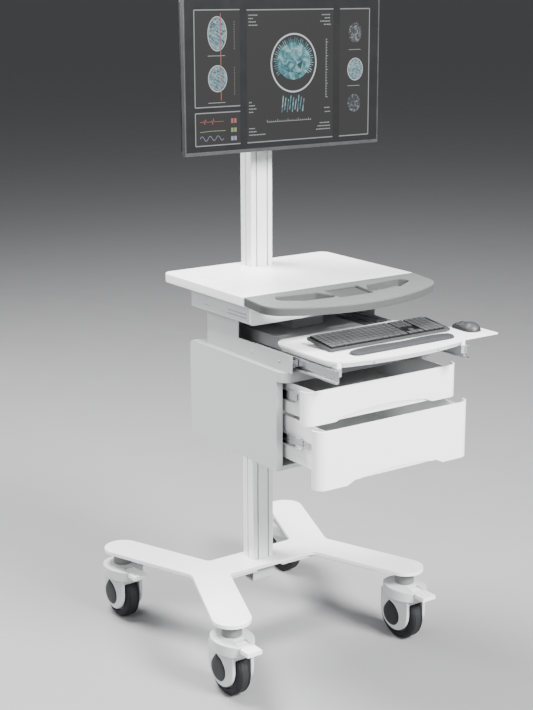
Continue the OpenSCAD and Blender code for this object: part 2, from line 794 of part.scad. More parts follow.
// Rear shell: a thin tray with a thicker block behind the middle
module monitor_rear_shell() color(black) difference() {
    union() {
        translate([0, 0, mon_mid]) upright(mon_front + bezel_d, mon_front + 24)
            rounded(mon_w - 2 * shell_in, mon_h - 2 * shell_in, 6);
        translate([0, 0, mon_mid]) upright(mon_front + 20, shell_back)
            rounded(mon_w - 130, mon_h - 110, 24);
    }
    translate([0, 0, mon_mid]) upright(mon_front + bezel_d - eps, mon_front + 21.5)
        rounded(mon_w - 2 * shell_in - 5, mon_h - 2 * shell_in - 5, 4);
    translate([0, 0, mon_mid]) upright(mon_front + 20, shell_back - 3)
        rounded(mon_w - 136, mon_h - 116, 21);
    for (i = [-9:9]) translate([i * 16, 0, mon_mid + 88]) upright(shell_back - 4, shell_back + 1)
        rounded(3, 26, 1.4);
}

module vesa_plate() color(dark_grey) {
    difference() {
        translate([0, 0, mon_mid]) upright(shell_back, plate_back) rounded(116, 116, 8);
        for (x = [-50, 50], z = [-50, 50]) translate([x, shell_back - eps, mon_mid + z])
            rotate([-90, 0, 0]) cylinder(r = 2.2, h = 10);
    }
    span([-13, plate_back - 2, mon_mid - 7], [13, tilt_y, mon_mid + 7]);
    translate([0, tilt_y, mon_mid]) bar_x(7, 26);
    translate([0, tilt_y, mon_mid]) bar_x(4, 42);
}

// Knuckle that swivels on the bracket's upright pin and carries the tilting plate between two ears
module tilt_head() color(dark_grey) {
    difference() {
        union() {
            both_sides() span([14, tilt_y, mon_mid - 8], [20.5, swivel_y - 4, mon_mid + 8]);
            both_sides() translate([17.25, tilt_y, mon_mid]) bar_x(8, 6.5);
            span([-20.5, tilt_y + 8.5, mon_mid - 17], [20.5, swivel_y, mon_mid + 17]);
            translate([0, swivel_y, mon_mid - 17]) cylinder(r = 9, h = 34);
        }
        translate([0, tilt_y, mon_mid]) bar_x(4 + run_gap, 60);
    }
    translate([0, swivel_y, mon_mid - 27]) cylinder(r = 5, h = 54);
}

module monitor_bracket() color(dark_grey) difference() {
    union() {
        translate([0, 0, mon_mid]) upright(col_front - 5, col_front) rounded(54, 100, 5);
        for (z = [mon_mid - 26, mon_mid + 17.5]) {
            span([-9, swivel_y, z], [9, col_front, z + 8.5]);
            translate([0, swivel_y, z]) cylinder(r = 9, h = 8.5);
        }
    }
    translate([0, swivel_y, mon_mid - 40]) cylinder(r = 5 + run_gap, h = 80);
}

// ---------------------------------------------------------------- assembly

placed() base_plate();
placed() foot_bracket();
placed() foot_bolts();
placed() column();
placed() column_top_cap();
placed() caster_stems();
placed() at_stem(-1, -1) fork();  // fork_fl
placed() at_stem(1, -1) fork();  // fork_fr
placed() at_stem(-1, 1) fork();  // fork_bl
placed() at_stem(1, 1) fork();  // fork_br
placed() at_stem(-1, -1) wheel_hub();  // wheel_hub_fl
placed() at_stem(1, -1) wheel_hub();  // wheel_hub_fr
placed() at_stem(-1, 1) wheel_hub();  // wheel_hub_bl
placed() at_stem(1, 1) wheel_hub();  // wheel_hub_br
placed() at_stem(-1, -1) tyre();  // tyre_fl
placed() at_stem(1, -1) tyre();  // tyre_fr
placed() at_stem(-1, 1) tyre();  // tyre_bl
placed() at_stem(1, 1) tyre();  // tyre_br
placed() at_stem(-1, -1) axle();  // axle_fl
placed() at_stem(1, -1) axle();  // axle_fr
placed() at_stem(-1, 1) axle();  // axle_bl
placed() at_stem(1, 1) axle();  // axle_br
placed() at_stem(-1, -1) brake_pedal();  // brake_pedal_fl
placed() at_stem(1, -1) brake_pedal();  // brake_pedal_fr
placed() at_stem(-1, 1) brake_pedal();  // brake_pedal_bl
placed() at_stem(1, 1) brake_pedal();  // brake_pedal_br
placed() cabinet_shell();
placed() upper_drawer_box();
placed() upper_drawer_front();
placed() lower_drawer_box();
placed() lower_drawer_front();
placed() upper_slide_outers();
placed() upper_slide_middles();
placed() upper_slide_inners();
placed() lower_slide_outers();
placed() lower_slide_middles();
placed() lower_slide_inners();
placed() bay_frame();
placed() bay_screws();
placed() support_arm();
placed() tray_guides();
placed() tray_channels();
placed() keyboard_tray();
placed() palm_rest();
placed() keyboard_base();
placed() keyboard_keys();
placed() mouse_shelf();
placed() mouse_body();
placed() mouse_buttons();
placed() mouse_wheel();
placed() power_housing();
placed() power_front_cover();
placed() worktop();
placed() handle();
placed() monitor_bezel();
placed() monitor_screen();
placed() monitor_rear_shell();
placed() vesa_plate();
placed() tilt_head();
placed() monitor_bracket();
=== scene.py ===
"""Looks of the medication cart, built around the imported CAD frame. Metres, +Z up, -Y the front."""

import json
import math

import bmesh
import bpy
from mathutils import Matrix, Vector


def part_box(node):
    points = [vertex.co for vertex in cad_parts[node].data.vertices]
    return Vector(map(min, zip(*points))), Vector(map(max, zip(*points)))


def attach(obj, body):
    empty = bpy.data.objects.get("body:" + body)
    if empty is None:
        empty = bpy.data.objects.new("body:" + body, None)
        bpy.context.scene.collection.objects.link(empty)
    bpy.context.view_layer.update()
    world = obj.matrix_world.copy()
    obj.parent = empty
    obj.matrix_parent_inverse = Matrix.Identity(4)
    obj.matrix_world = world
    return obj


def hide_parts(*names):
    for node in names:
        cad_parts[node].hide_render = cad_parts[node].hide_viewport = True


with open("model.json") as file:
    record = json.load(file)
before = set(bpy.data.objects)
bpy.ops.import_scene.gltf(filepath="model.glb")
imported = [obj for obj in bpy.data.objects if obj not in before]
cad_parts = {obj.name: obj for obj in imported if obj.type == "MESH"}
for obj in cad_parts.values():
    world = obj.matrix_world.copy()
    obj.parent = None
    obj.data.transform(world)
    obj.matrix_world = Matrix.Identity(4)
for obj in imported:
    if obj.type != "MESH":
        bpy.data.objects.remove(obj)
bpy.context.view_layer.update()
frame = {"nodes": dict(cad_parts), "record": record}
nodes = frame["nodes"]
slot_of = {s["node"]: s["material_slot"] for s in frame["record"]["subparts"]}

# The cart's own origin, under the middle of its four casters, in the row frame
_low, _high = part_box("base_plate")
HUB_Y = (_low.y + _high.y) / 2
STEM = 0.25


def mm(x, y, z):
    """A point given in millimetres from the middle of the four casters."""
    return Vector((x / 1000, HUB_Y + y / 1000, z / 1000))


# ------------------------------------------------------------------ materials

class Shader:
    """A node material with short ways to add the nodes that the looks here need."""

    def __init__(self, name):
        self.material = bpy.data.materials.new(name)
        self.material.use_nodes = True
        self.nodes = self.material.node_tree.nodes
        self.bsdf = self.nodes["Principled BSDF"]
        self.where = self.nodes.new("ShaderNodeTexCoord").outputs["Object"]

    def join(self, out, socket):
        self.material.node_tree.links.new(out, socket)

    def feed(self, socket, value):
        """Sets a socket to another node's output, a colour or a number."""
        if isinstance(value, bpy.types.NodeSocket):
            self.join(value, socket)
        elif isinstance(value, tuple):
            socket.default_value = (*value, 1)
        else:
            socket.default_value = value

    def stretched(self, scale):
        mapping = self.nodes.new("ShaderNodeMapping")
        mapping.inputs["Scale"].default_value = scale
        self.join(self.where, mapping.inputs["Vector"])
        return mapping.outputs["Vector"]

    def noise(self, size, detail=3.0, source=None, distortion=0.0):
        t = self.nodes.new("ShaderNodeTexNoise")
        t.inputs["Scale"].default_value = size
        t.inputs["Detail"].default_value = detail
        t.inputs["Distortion"].default_value = distortion
        self.join(source or self.where, t.inputs["Vector"])
        return t.outputs["Fac"]

    def spread(self, value, low, high, to_low=0.0, to_high=1.0):
        """Maps the span low..high of a value onto to_low..to_high."""
        r = self.nodes.new("ShaderNodeMapRange")
        span = {"From Min": low, "From Max": high, "To Min": to_low, "To Max": to_high}
        for socket, number in span.items():
            r.inputs[socket].default_value = number
        self.join(value, r.inputs["Value"])
        return r.outputs["Result"]

    def math(self, operation, a, b=0.0):
        m = self.nodes.new("ShaderNodeMath")
        m.operation = operation
        self.feed(m.inputs[0], a)
        self.feed(m.inputs[1], b)
        return m.outputs[0]

    def mix(self, fac, a, b):
        x = self.nodes.new("ShaderNodeMix")
        x.data_type = "RGBA"
        self.feed(x.inputs["Factor"], fac)
        self.feed(x.inputs["A"], a)
        self.feed(x.inputs["B"], b)
        return x.outputs["Result"]

    def zone(self, places):
        """1 where, for each (direction, centre, reach), the distance along it is within reach of centre.

        Left and right count the same.
        """
        inside = 1.0
        for direction, centre, reach in places:
            dot = self.nodes.new("ShaderNodeVectorMath")
            dot.operation = "DOT_PRODUCT"
            self.join(self.where, dot.inputs[0])
            dot.inputs[1].default_value = direction
            along = dot.outputs["Value"]
            if direction[0]:
                along = self.math("ABSOLUTE", along)
            off = self.math("ABSOLUTE", self.math("SUBTRACT", along, centre))
            inside = self.math("MULTIPLY", self.math("LESS_THAN", off, reach), inside)
        return inside

    def bump(self, height, strength, distance):
        b = self.nodes.new("ShaderNodeBump")
        b.inputs["Strength"].default_value = strength
        b.inputs["Distance"].default_value = distance
        self.join(height, b.inputs["Height"])
        self.join(b.outputs["Normal"], self.bsdf.inputs["Normal"])


def shaded(colour, amount):
    """The colour made lighter by a share of itself, or darker where the share is below zero."""
    return tuple(min(1.0, c * (1 + amount)) for c in colour)


def material(name, colour, rough, metallic=0.0, coat=0.0, spec=0.5, tint=0.05, tint_size=9.0, grain=0.4,
             grain_size=900.0, stretch=(1, 1, 1), rough_vary=0.08, wear=0.35, zone=None):
    """A used surface: soft tint, grime in soft patches, fine scratches, varied roughness and a fine grain.

    zone is (places, colour) and gives part of the surface another colour.
    """
    s = Shader(name)
    s.bsdf.inputs["Metallic"].default_value = metallic
    s.bsdf.inputs["Coat Weight"].default_value = coat
    s.bsdf.inputs["Coat Roughness"].default_value = 0.25
    s.bsdf.inputs["Specular IOR Level"].default_value = spec
    along = s.stretched(stretch)

    soft = s.noise(tint_size, 2.0, along)
    shade = s.mix(soft, shaded(colour, -tint), shaded(colour, tint))
    if zone:
        places, other = zone
        shade = s.mix(s.zone(places), shade, s.mix(soft, shaded(other, -0.1), shaded(other, 0.1)))
    grime = s.spread(s.noise(tint_size * 1.7, 6.0, distortion=0.6), 0.56, 0.78, 0.0, 0.10 * wear)
    shade = s.mix(grime, shade, shaded(colour, -0.55))
    strokes = s.noise(55.0, 2.0, s.stretched((1.0, 0.06, 3.5)), 0.4)
    scratch = s.spread(strokes, 0.66, 0.70, 0.0, 0.5 * wear)
    shade = s.mix(s.math("MULTIPLY", scratch, 0.3), shade, shaded(colour, 0.35))
    s.join(shade, s.bsdf.inputs["Base Color"])

    smears = s.spread(s.noise(tint_size * 4, 4.0, along), 0.3, 0.7,
                      max(0.04, rough - rough_vary), rough + rough_vary)
    s.join(s.math("ADD", smears, s.math("MULTIPLY", scratch, 0.25)), s.bsdf.inputs["Roughness"])
    s.bump(s.noise(grain_size, 3.0, along), grain, 0.0002)
    return s.material


WHITE = (0.86, 0.862, 0.865)
LIGHT_GREY = (0.50, 0.505, 0.51)
LENGTHWAYS = (1, 0.02, 1)
UPWARDS = (1, 1, 0.01)
SIDEWAYS_AXIS, FRONT_AXIS, UP_AXIS = (1, 0, 0), (0, 1, 0), (0, 0, 1)

# Zones, in metres. Keys: a band of painted shade on their sides, up to just under their tops
KEY_TILT = math.radians(6.5)
KEY_UP = Vector((0, -math.sin(KEY_TILT), math.cos(KEY_TILT)))
KEY_SHADE_BAND = KEY_UP.dot(mm(0, -455, 818.6)) + 0.0070
KEY_SHADE_BAND_HALF = 0.0032
# Handle: painted shade on its side, under the rounded top edge
HANDLE_TILT = math.radians(4.5)
HANDLE_UP = Vector((0, -math.sin(HANDLE_TILT), math.cos(HANDLE_TILT)))
HANDLE_SIDE_SHADE = HANDLE_UP.dot(mm(0, -278, 913.5)) - 0.0125
HANDLE_SIDE_SHADE_HALF = 0.0095
# Tyre: its tread. Mouse: its lower rim. Tray: the flanges below its skirt
TREAD_HALF = 0.0085
MOUSE_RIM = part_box("mouse_body")[0].z
MOUSE_RIM_HALF = 0.0065
FLANGE_MIDDLE, FLANGE_HALF = 0.79, 0.0135
# Power housing: painted shade inside its side walls, so that the vents and lamps look deep
HOUSING_LOW, HOUSING_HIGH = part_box("power_housing")
HOUSING_MIDDLE = (HOUSING_LOW + HOUSING_HIGH) / 2
HOUSING_SHADE_REACH = (HOUSING_HIGH - HOUSING_LOW) / 2 - Vector((0.004, 0.004, 0.004))
HOUSING_SHADE_WALL, HOUSING_SHADE_WALL_HALF = HOUSING_HIGH.x - 0.0016, 0.00145

MATS = {
    "white_powder": material("white_powder", WHITE, 0.38, coat=0.15, tint=0.02, grain=0.3, grain_size=700),
    "light_grey_powder": material("light_grey_powder", LIGHT_GREY, 0.5, tint=0.03, grain=0.6,
                                  grain_size=1100),
    "dark_powder": material("dark_powder", (0.035, 0.036, 0.04), 0.45, tint=0.12, grain=0.5),
    "white_anodised": material("white_anodised", (0.82, 0.825, 0.83), 0.34, metallic=0.25, tint=0.03,
                               grain=0.3, grain_size=500, stretch=UPWARDS, rough_vary=0.06),
    "zinc_steel": material("zinc_steel", (0.66, 0.67, 0.69), 0.26, metallic=1.0, tint=0.08, tint_size=30,
                           grain=0.5, stretch=LENGTHWAYS, rough_vary=0.1, wear=0.6),
    "white_plastic": material("white_plastic", WHITE, 0.36, coat=0.1, tint=0.02, grain=0.3,
                              grain_size=1400),
    "light_grey_plastic": material("light_grey_plastic", (0.52, 0.525, 0.53), 0.42, tint=0.03,
                                   grain_size=1300),
    "mid_grey_plastic": material("mid_grey_plastic", (0.135, 0.143, 0.14), 0.5, tint=0.06, grain=0.8,
                                 grain_size=1300, wear=0.5),
    "dark_plastic": material("dark_plastic", (0.026, 0.027, 0.029), 0.45, tint=0.1, grain=0.6,
                             grain_size=1500),
    "black_plastic": material("black_plastic", (0.006, 0.006, 0.007), 0.36, spec=0.3, tint=0.1,
                              grain_size=1500, wear=0.2),
    # keys: their sides are darkened, painted shade in the gaps between the keys
    "key_plastic": material("key_plastic", (0.058, 0.059, 0.062), 0.5, tint=0.12, grain=0.6,
                            grain_size=1800,
                            zone=([(KEY_UP, KEY_SHADE_BAND, KEY_SHADE_BAND_HALF)], (0.005, 0.005, 0.005))),
    "dark_gel": material("dark_gel", (0.030, 0.031, 0.034), 0.66, spec=0.3, tint=0.1, grain=1.0,
                         grain_size=700, rough_vary=0.1, wear=0.5),
    "black_rubber": material("black_rubber", (0.012, 0.012, 0.012), 0.7, tint=0.15, grain=0.8, wear=0.6),
    "tyre": material("tyre", (0.008, 0.008, 0.009), 0.6, spec=0.25, tint=0.2, tint_size=40, grain=0.8,
                     grain_size=600, rough_vary=0.14, wear=1.0,
                     zone=([(SIDEWAYS_AXIS, STEM, TREAD_HALF)], (0.018, 0.018, 0.019))),
    "screen_glass": material("screen_glass", (0.012, 0.0122, 0.0125), 0.24, spec=0.25, tint=0.1,
                             rough_vary=0.03, grain=0.1, wear=0.1),
}
SPECIAL = {  # nodes whose material differs from that of their slot
    # housing: darker inside its side walls, painted shade in the vent and lamp holes
    "power_housing": material("housing_plastic_vent_shade", LIGHT_GREY, 0.44, tint=0.03, grain_size=1300,
                              zone=([(SIDEWAYS_AXIS, HOUSING_SHADE_WALL, HOUSING_SHADE_WALL_HALF),
                                     (FRONT_AXIS, HOUSING_MIDDLE.y, HOUSING_SHADE_REACH.y),
                                     (UP_AXIS, HOUSING_MIDDLE.z, HOUSING_SHADE_REACH.z)], (0.012, 0.012, 0.013))),
    # handle: a darker band on its side, painted shade under the lit rounded top
    "handle": material("handle_plastic_side_shade", (0.125, 0.132, 0.13), 0.5, tint=0.06, grain=0.8, grain_size=1300,
                       wear=0.5,
                       zone=([(HANDLE_UP, HANDLE_SIDE_SHADE, HANDLE_SIDE_SHADE_HALF)], (0.062, 0.066, 0.065))),
    "monitor_bezel": material("bezel_plastic", (0.026, 0.0265, 0.028), 0.42, tint=0.08, grain=0.5,
                              grain_size=1500),
    "keyboard_tray": material("tray_plastic", WHITE, 0.36, coat=0.1, tint=0.02, grain=0.3, grain_size=1400,
                              zone=([(UP_AXIS, FLANGE_MIDDLE, FLANGE_HALF)], (0.30, 0.305, 0.31))),
}
MOUSE_TOP = material("mouse_plastic", (0.034, 0.035, 0.036), 0.5, tint=0.06, grain_size=1800, wear=0.6,
                     zone=([(UP_AXIS, MOUSE_RIM, MOUSE_RIM_HALF)], (0.012, 0.012, 0.013)))

# ------------------------------------------------------------------ CAD nodes with soft edges

USUAL_EDGE = 0.5
EDGES = {  # edge radius in millimetres, where it isn't the usual one
    "base_plate": 1.6, "worktop": 2.2, "handle": 3.2, "cabinet_shell": 0.7, "column": 0.35,
    "keyboard_tray": 1.2, "upper_drawer_front": 0.9, "lower_drawer_front": 0.9, "power_housing": 0.4,
    "power_front_cover": 1.2, "keyboard_base": 1.0, "mouse_shelf": 0.8, "monitor_bezel": 0.6,
    "monitor_rear_shell": 1.0, "monitor_screen": 0.1, "upper_drawer_box": 0.4, "lower_drawer_box": 0.4,
    "bay_frame": 0.4, "palm_rest": 1.5, "tray_channels": 0.3,
}


def soften(o, width):
    """Joins a CAD node's facets into clean faces and rounds its edges, with modifiers only."""
    for p in o.data.polygons:
        p.use_smooth = True
    weld = o.modifiers.new("weld", "WELD")
    weld.merge_threshold = 0.00001
    flat = o.modifiers.new("flat", "DECIMATE")
    flat.decimate_type = "DISSOLVE"
    flat.angle_limit = math.radians(0.5)
    bevel = o.modifiers.new("edges", "BEVEL")
    bevel.width = width / 1000
    bevel.segments = 2
    bevel.limit_method = "ANGLE"
    bevel.angle_limit = math.radians(35)
    bevel.use_clamp_overlap = True
    normal = o.modifiers.new("normals", "WEIGHTED_NORMAL")
    normal.keep_sharp = False
    normal.weight = 80


for name, o in nodes.items():
    o.data.materials.clear()
    o.data.materials.append(SPECIAL.get(name, MATS[slot_of[name]]))
    soften(o, EDGES.get(name, USUAL_EDGE))

# ------------------------------------------------------------------ pieces made here

CASTERS = {"fl": (-1, -1), "fr": (1, -1), "bl": (-1, 1), "br": (1, 1)}


def lit(name, colour_of):
    """A lit part of the display. colour_of makes its colour from the shader's own nodes."""
    s = Shader(name)
    s.bsdf.inputs["Base Color"].default_value = (0.01, 0.01, 0.01, 1)
    s.bsdf.inputs["Roughness"].default_value = 0.22
    s.bsdf.inputs["Specular IOR Level"].default_value = 0.3
    s.join(colour_of(s), s.bsdf.inputs["Emission Color"])
    s.bsdf.inputs["Emission Strength"].default_value = 1
    return s.material


def emissive(name, colour):
    """An even colour broken up by the panel's faint rows and a soft unevenness of its lamp."""
    def colour_of(s):
        rows = s.nodes.new("ShaderNodeTexWave")
        rows.bands_direction = "Z"
        rows.inputs["Scale"].default_value = 300
        s.join(s.where, rows.inputs["Vector"])
        lined = s.mix(rows.outputs["Fac"], shaded(colour, -0.1), colour)
        return s.mix(s.spread(s.noise(7.0), 0.35, 0.65, 0.0, 0.12), lined, shaded(colour, -0.4))
    return lit(name, colour_of)


def scan_material(name, low, mid, high, size):
    """Mottled false colour for the display's round pictures."""
    def colour_of(s):
        ramp = s.nodes.new("ShaderNodeValToRGB")
        stops = ramp.color_ramp.elements
        made = ((stops[0], 0.36, low), (stops[1], 0.68, high), (stops.new(0.5), 0.5, mid))
        for stop, place, colour in made:
            stop.position = place
            stop.color = (*colour, 1)
        s.join(s.noise(size, 4.0, distortion=1.2), ramp.inputs["Fac"])
        return ramp.outputs["Color"]
    return lit(name, colour_of)


def meshed(name, bm):
    """Turns a bmesh into a mesh with its faces the right way out."""
    mesh = bpy.data.meshes.new(name)
    bmesh.ops.recalc_face_normals(bm, faces=bm.faces)
    bm.to_mesh(mesh)
    bm.free()
    return mesh


def piece(name, mesh, mat, body, smooth=True, replaces=(), at=(0, 0, 0)):
    """Puts a mesh into the scene as a named piece that rides on a body."""
    for p in mesh.polygons:
        p.use_smooth = smooth
    mesh.materials.clear()
    mesh.materials.append(mat)
    o = bpy.data.objects.new(name, mesh)
    bpy.context.scene.collection.objects.link(o)
    o.location = at
    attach(o, body)
    if replaces:
        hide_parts(*replaces)
    return o


def bridge(bm, a, b):
    """Joins two closed rings of as many points with a band of faces."""
    for i in range(len(a)):
        j = (i + 1) % len(a)
        bm.faces.new((a[i], a[j], b[j], b[i]))


def melted(node, voxel, keep, origin=(0, 0, 0)):
    """A mesh like a CAD node's, its joins blended as in a moulding and its faces reduced to a share, keep.

    origin becomes its (0, 0, 0).
    """
    o = bpy.data.objects.new("work", nodes[node].data.copy())
    bpy.context.scene.collection.objects.link(o)
    remesh = o.modifiers.new("remesh", "REMESH")
    remesh.mode = "VOXEL"
    remesh.voxel_size = voxel / 1000
    relax = o.modifiers.new("relax", "SMOOTH")
    relax.factor = 0.5
    relax.iterations = 6
    fewer = o.modifiers.new("fewer", "DECIMATE")
    fewer.ratio = keep
    graph = bpy.context.evaluated_depsgraph_get()
    mesh = bpy.data.meshes.new_from_object(o.evaluated_get(graph))
    mesh.name = node + "_melted"
    bpy.data.objects.remove(o)
    mesh.transform(Matrix.Translation(-Vector(origin)))
    return mesh


def screw_head(bm, centre, across, normal, radius, height, dish):
    """A low domed head with a hollow in its top, dish being the hollow's share of the height."""
    normal = Vector(normal).normalized()
    across = Vector(across).normalized()
    up = normal.cross(across)
    sides = 24
    profile = ((1.0, 0.0), (1.0, 0.45), (0.86, 0.9), (0.6, 1.0), (0.38, 1.0), (0.34, 1.0 - dish))
    rings = []
    for r, h in profile:
        base = Vector(centre) + normal * (height * h)
        rings.append([
            bm.verts.new(base + (across * math.cos(a) + up * math.sin(a)) * radius * r)
            for a in (2 * math.pi * i / sides for i in range(sides))
        ])
    for a, b in zip(rings, rings[1:]):
        bridge(bm, a, b)
    bm.faces.new(rings[0][::-1])
    tip = bm.verts.new(Vector(centre) + normal * (height * (1.0 - dish)))
    for i in range(sides):
        bm.faces.new((rings[-1][i], rings[-1][(i + 1) % sides], tip))


def smooth_loop(points, steps=6, corners=(0,)):
    """A closed Catmull-Rom curve through 2-D points, kept sharp at the listed corners."""
    n, out = len(points), []
    for i in range(n):
        p1, p2 = points[i], points[(i + 1) % n]
        p0 = points[i - 1] if i not in corners else p1
        p3 = points[(i + 2) % n] if (i + 1) % n not in corners else p2
        for k in range(steps):
            t = k / steps
            out.append(tuple(
                0.5 * (2 * b + (c - a) * t + (2 * a - 5 * b + 4 * c - d) * t * t
                       + (3 * b - a - 3 * c + d) * t ** 3)
                for a, b, c, d in zip(p0, p1, p2, p3)
            ))
    return out


# Casters: blended forks, domed teardrop covers on the cheeks. Millimetres from the stem, on the floor

TEARDROP = [(21, 96), (4, 90), (-8, 80), (-15, 66), (-12, 50), (0, 38), (16, 35), (31, 41), (40, 53),
            (41, 68), (33, 82)]
CHEEK_X = 29.0
COVER_STEPS = ((1.03, -0.8), (1.03, 0.0), (1.0, 0.7), (0.93, 1.3), (0.7, 2.0), (0.35, 2.4))  # scale, height


def cheek_covers():
    outline = smooth_loop(TEARDROP)
    mid_y, mid_z = (sum(p[k] for p in outline) / len(outline) for k in (0, 1))
    bm = bmesh.new()
    for side in (-1, 1):
        rings = []
        for keep, out in COVER_STEPS:
            rings.append([
                bm.verts.new((side * (CHEEK_X + out) / 1000, (mid_y + (y - mid_y) * keep) / 1000,
                              (mid_z + (z - mid_z) * keep) / 1000))
                for y, z in outline
            ])
        for a, b in zip(rings, rings[1:]):
            bridge(bm, a, b)
        bm.faces.new(rings[0])
        bm.faces.new(rings[-1])
    return meshed("cheek_covers", bm)


def casters():
    fork = melted("fork_fl", 1.3, 0.45, (-STEM, HUB_Y - STEM, 0))
    covers = cheek_covers()
    for key, (sx, sy) in CASTERS.items():
        at = (sx * STEM, HUB_Y + sy * STEM, 0)
        body = "caster_" + key
        piece("fork_moulding_" + key, fork, MATS["light_grey_plastic"], body,
              replaces=("fork_" + key,), at=at)
        piece("cheek_covers_" + key, covers, MATS["black_plastic"], body, at=at)


# Palm rest: a soft gel bar with crowned section and drawn-in ends

def palm_rest():
    low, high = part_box("palm_rest")
    mid, half = (low + high) / 2, (high - low) / 2
    bm = bmesh.new()
    stations, sides, rings = 72, 28, []
    for i in range(stations + 1):
        s = -math.cos(math.pi * i / stations)           # from -1 at the left end to 1 at the right
        full = max(0.0, 1 - abs(s) ** 18) ** 0.5        # 1 along the bar, 0 at its ends
        ring = []
        for k in range(sides + 1):
            a = math.pi * k / sides
            wide = abs(math.cos(a)) ** 0.85 * math.copysign(1, math.cos(a))
            tall = math.sin(a) ** 0.75 * (1 - 0.07 * math.cos(6 * s))
            ring.append(bm.verts.new((mid.x + s * half.x, mid.y + wide * half.y * (0.25 + 0.75 * full),
                                      low.z + tall * (high.z - low.z) * (0.35 + 0.63 * full))))
        rings.append(ring)
    for a, b in zip(rings, rings[1:]):
        bridge(bm, a, b)
    bm.faces.new(rings[0])
    bm.faces.new(rings[-1][::-1])
    o = piece("palm_rest_pad", meshed("palm_rest_pad", bm), MATS["dark_gel"], "keyboard_drawer",
              replaces=("palm_rest",))


# Mouse: one smooth shell, split into body and buttons as in CAD

def mouse():
    for node, name, body in (("mouse_body", "mouse_shell", "side_shelf"),
                             ("mouse_buttons", "mouse_button_caps", "mouse_button_pair")):
        piece(name, melted(node, 0.45, 0.4), MOUSE_TOP, body, replaces=(node,))


# Keyboard tray: the sloping edge of the moulding, between its deck and its skirt. Millimetres

TRAY_HALF, TRAY_BACK, TRAY_FRONT = 182, -304.5, -544.5
TRAY_CORNER, TRAY_BOW = 42, 720
SLOT_BACK, SLOT_FRONT = -397, -501
DECK_UNDER, SKIRT_LOW, OVER_SHELF = 814.2, 804.2, 811.2
RIM_IN, SKIRT_IN = 0.4, 8.2


def tray_edge(inset, steps=14):
    """The tray's outline moved inwards, in millimetres: four corner arcs and the bowed front."""
    bow_y = TRAY_FRONT + TRAY_BOW
    corner_x = TRAY_HALF - TRAY_CORNER
    front_y = bow_y - math.sqrt((TRAY_BOW - TRAY_CORNER) ** 2 - corner_x ** 2)
    bow_half = math.asin(corner_x / (TRAY_BOW - TRAY_CORNER))
    right = []
    for i in range(2 * steps + 1):
        a = bow_half * i / (2 * steps)
        right.append(((TRAY_BOW - inset) * math.sin(a), bow_y - (TRAY_BOW - inset) * math.cos(a)))
    back_y = TRAY_BACK - TRAY_CORNER
    for centre_y, start, end in ((front_y, bow_half - math.pi / 2, 0), (back_y, 0, math.pi / 2)):
        for i in range(steps + 1):
            a = start + (end - start) * i / steps
            right.append((corner_x + (TRAY_CORNER - inset) * math.cos(a),
                          centre_y + (TRAY_CORNER - inset) * math.sin(a)))
        if centre_y == front_y:
            cuts = (SLOT_FRONT, SLOT_FRONT + 0.1, SLOT_BACK - 0.1, SLOT_BACK)
            right += [(TRAY_HALF - inset, y) for y in cuts if front_y < y < back_y]
    return right + [(-x, y) for x, y in reversed(right[1:])]


def tray_slope():
    """A closed ring of three-cornered section, kept above the mouse shelf where the shelf comes out."""
    share = (DECK_UNDER - OVER_SHELF) / (DECK_UNDER - SKIRT_LOW)
    outer, inner, cut = (tray_edge(v) for v in (RIM_IN, SKIRT_IN, RIM_IN + (SKIRT_IN - RIM_IN) * share))
    bm = bmesh.new()
    rings = []
    for (ox, oy), (ix, iy), (cx, cy) in zip(outer, inner, cut):
        over_shelf = ox > 0 and SLOT_FRONT < oy < SLOT_BACK
        low = (cx, cy, OVER_SHELF) if over_shelf else (ix, iy, SKIRT_LOW)
        section = ((ox, oy, DECK_UNDER), low, (ix, iy, DECK_UNDER))
        rings.append([bm.verts.new(mm(*place)) for place in section])
    for a, b in zip(rings, rings[1:] + rings[:1]):
        bridge(bm, a, b)
    piece("tray_slope", meshed("tray_slope", bm), MATS["white_plastic"], "keyboard_drawer",
          smooth=False)


# Screws that hold the tray, the slides and the monitor plate

def screws():
    bm = bmesh.new()
    for x in (-86, 84):
        screw_head(bm, mm(x, -533.6, 809), SIDEWAYS_AXIS, (0, -1, 0), 0.0026, 0.0012, dish=0.8)
    piece("tray_front_screws", meshed("tray_front_screws", bm), MATS["dark_plastic"], "keyboard_drawer")
    for level, body in (("upper", "upper_drawer"), ("lower", "lower_drawer")):
        name = level + "_slide_screws"
        low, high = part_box(level + "_slide_inners")
        bm = bmesh.new()
        for side in (-1, 1):
            for from_front in (0.016, 0.06, 0.20):
                at = Vector((side * (high.x - 0.0001), low.y + from_front, (low.z + high.z) / 2))
                screw_head(bm, at, FRONT_AXIS, (side, 0, 0), 0.0034, 0.0004, dish=0.6)
        piece(name, meshed(name, bm), MATS["zinc_steel"], body)
    low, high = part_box("vesa_plate")
    middle = (low + high) / 2
    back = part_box("monitor_rear_shell")[1].y + 0.004
    bm = bmesh.new()
    for sx in (-1, 1):
        for sz in (-1, 1):
            at = (middle.x + sx * 0.05, back, middle.z + sz * 0.05)
            screw_head(bm, at, SIDEWAYS_AXIS, FRONT_AXIS, 0.0038, 0.0018, dish=0.7)
    piece("monitor_plate_screws", meshed("monitor_plate_screws", bm), MATS["zinc_steel"], "monitor")


# Display: frames, ticks, round pictures and traces as thin lit shapes just in front of the panel. The
# coordinates are millimetres from the middle of the monitor and from the floor

